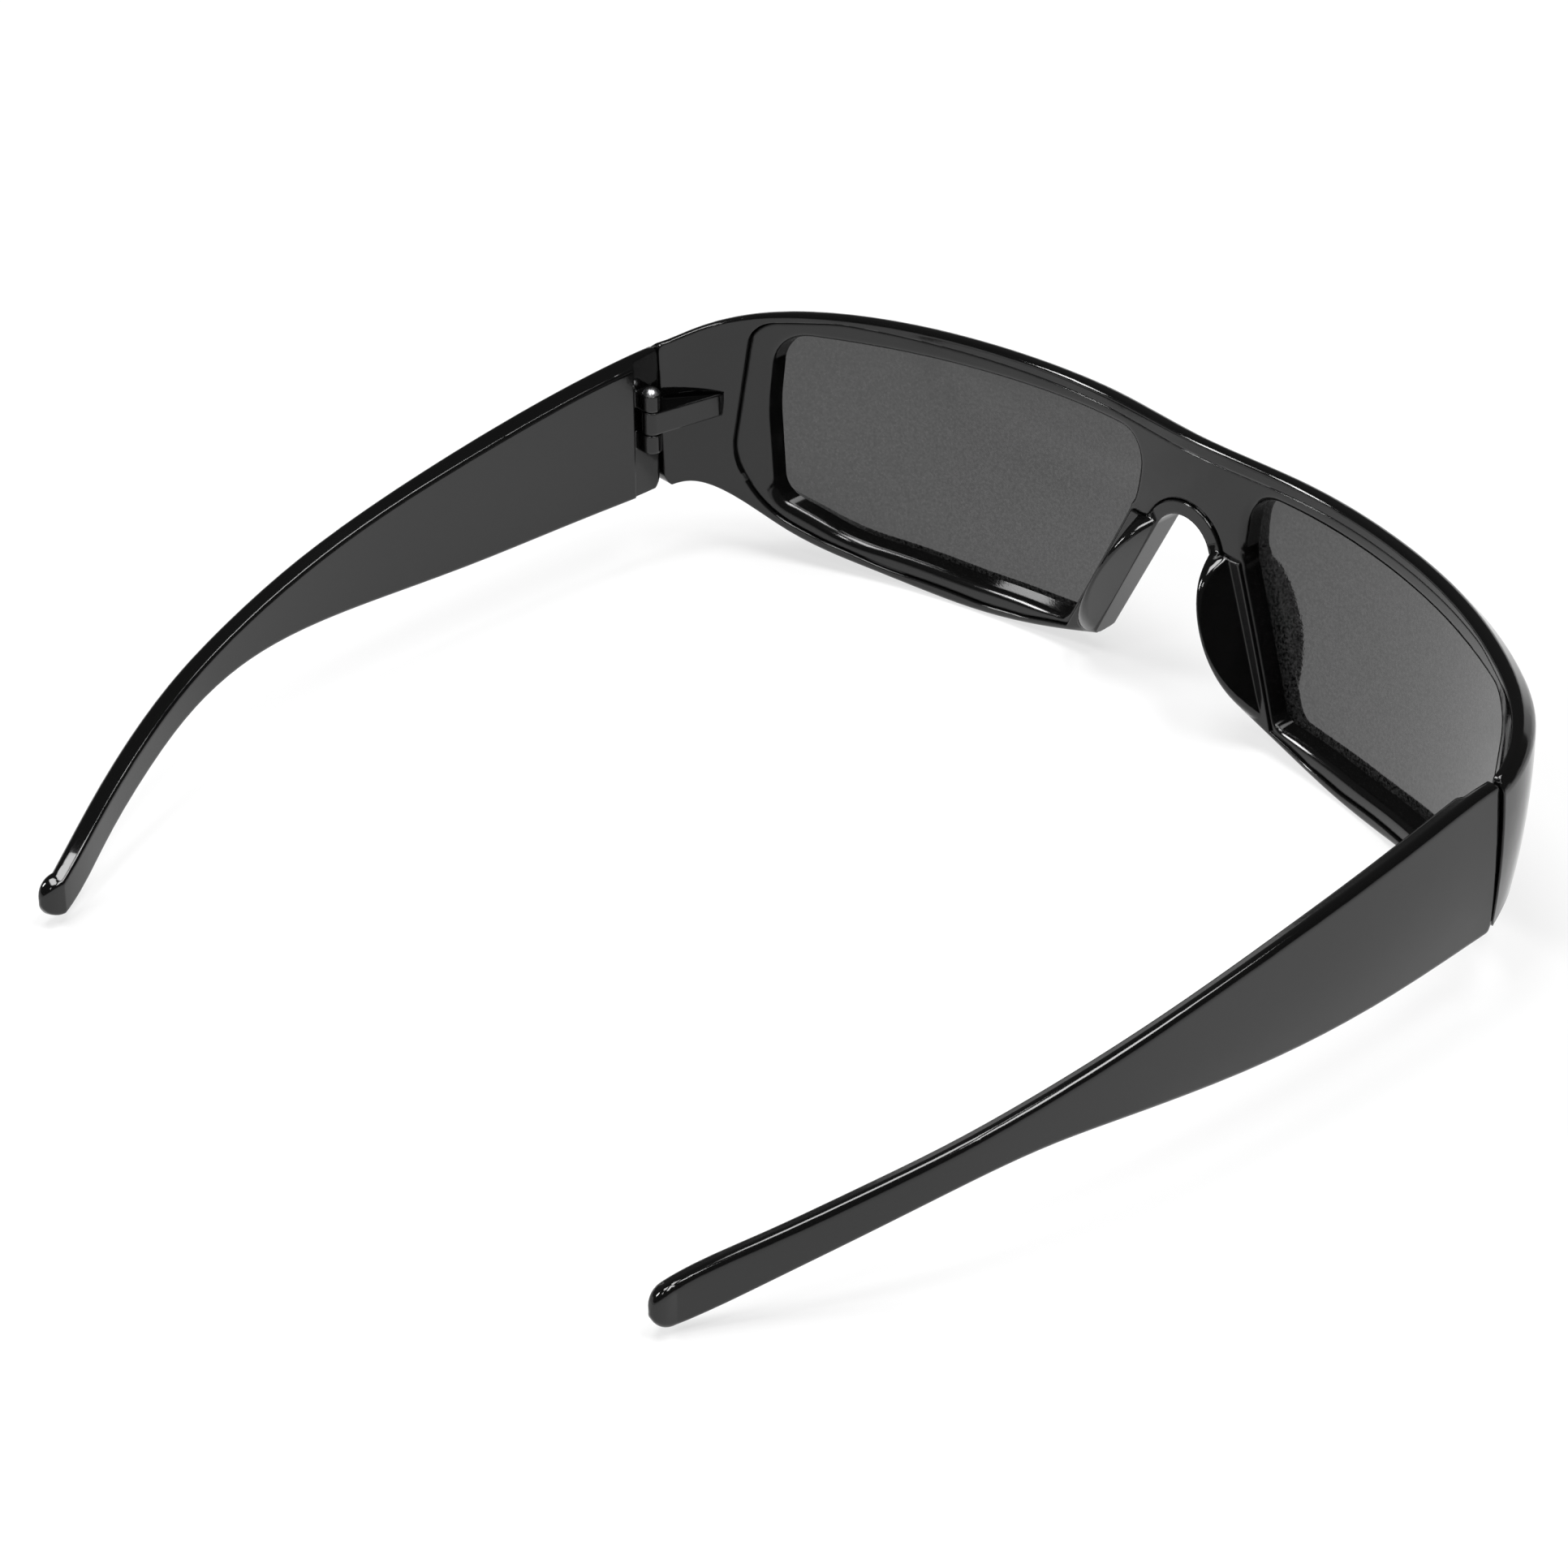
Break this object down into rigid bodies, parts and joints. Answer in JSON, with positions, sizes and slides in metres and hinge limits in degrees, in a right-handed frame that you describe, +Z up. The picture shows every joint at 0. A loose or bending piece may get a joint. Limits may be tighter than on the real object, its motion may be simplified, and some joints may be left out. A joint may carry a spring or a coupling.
{
  "type": "eclipse glasses",
  "caption": "Wraparound eclipse glasses in gloss black plastic: a front with nose pads, opaque solar filters held by a rear retainer, and folding temples on screw hinges.",
  "frame": {"origin": "on the table under the middle of the glasses' bounding box, standing open on the lower rims and the temple tips", "axes": "+X to the wearer's left, +Y backwards along the temples, +Z up; the wearer looks along -Y"},
  "size_m": [0.1474, 0.1422, 0.0357],
  "materials": {
    "frame_plastic": "moulded gloss black plastic",
    "retainer_plastic": "moulded black plastic, fine satin gloss",
    "solar_filter": "smooth dark grey polymer filter, opaque to the eye",
    "screw_steel": "bright turned steel"
  },
  "bodies": {
    "front": {"front_shell": "frame_plastic", "lens_retainer": "retainer_plastic", "left_filter_lens": "solar_filter", "right_filter_lens": "solar_filter"},
    "left_temple": {"left_temple": "frame_plastic", "left_hinge_screw": "screw_steel"},
    "right_temple": {"right_temple": "frame_plastic", "right_hinge_screw": "screw_steel"}
  },
  "joints": [
    {"name": "left_temple_fold", "type": "hinge", "parent": "front", "child": "left_temple", "pos_m": [0.069, -0.0383, 0.02107], "axis": [0, 0, 1], "range_deg": [0, 90]},
    {"name": "right_temple_fold", "type": "hinge", "parent": "front", "child": "right_temple", "pos_m": [-0.069, -0.0383, 0.02107], "axis": [0, 0, -1], "range_deg": [0, 78]}
  ]
}
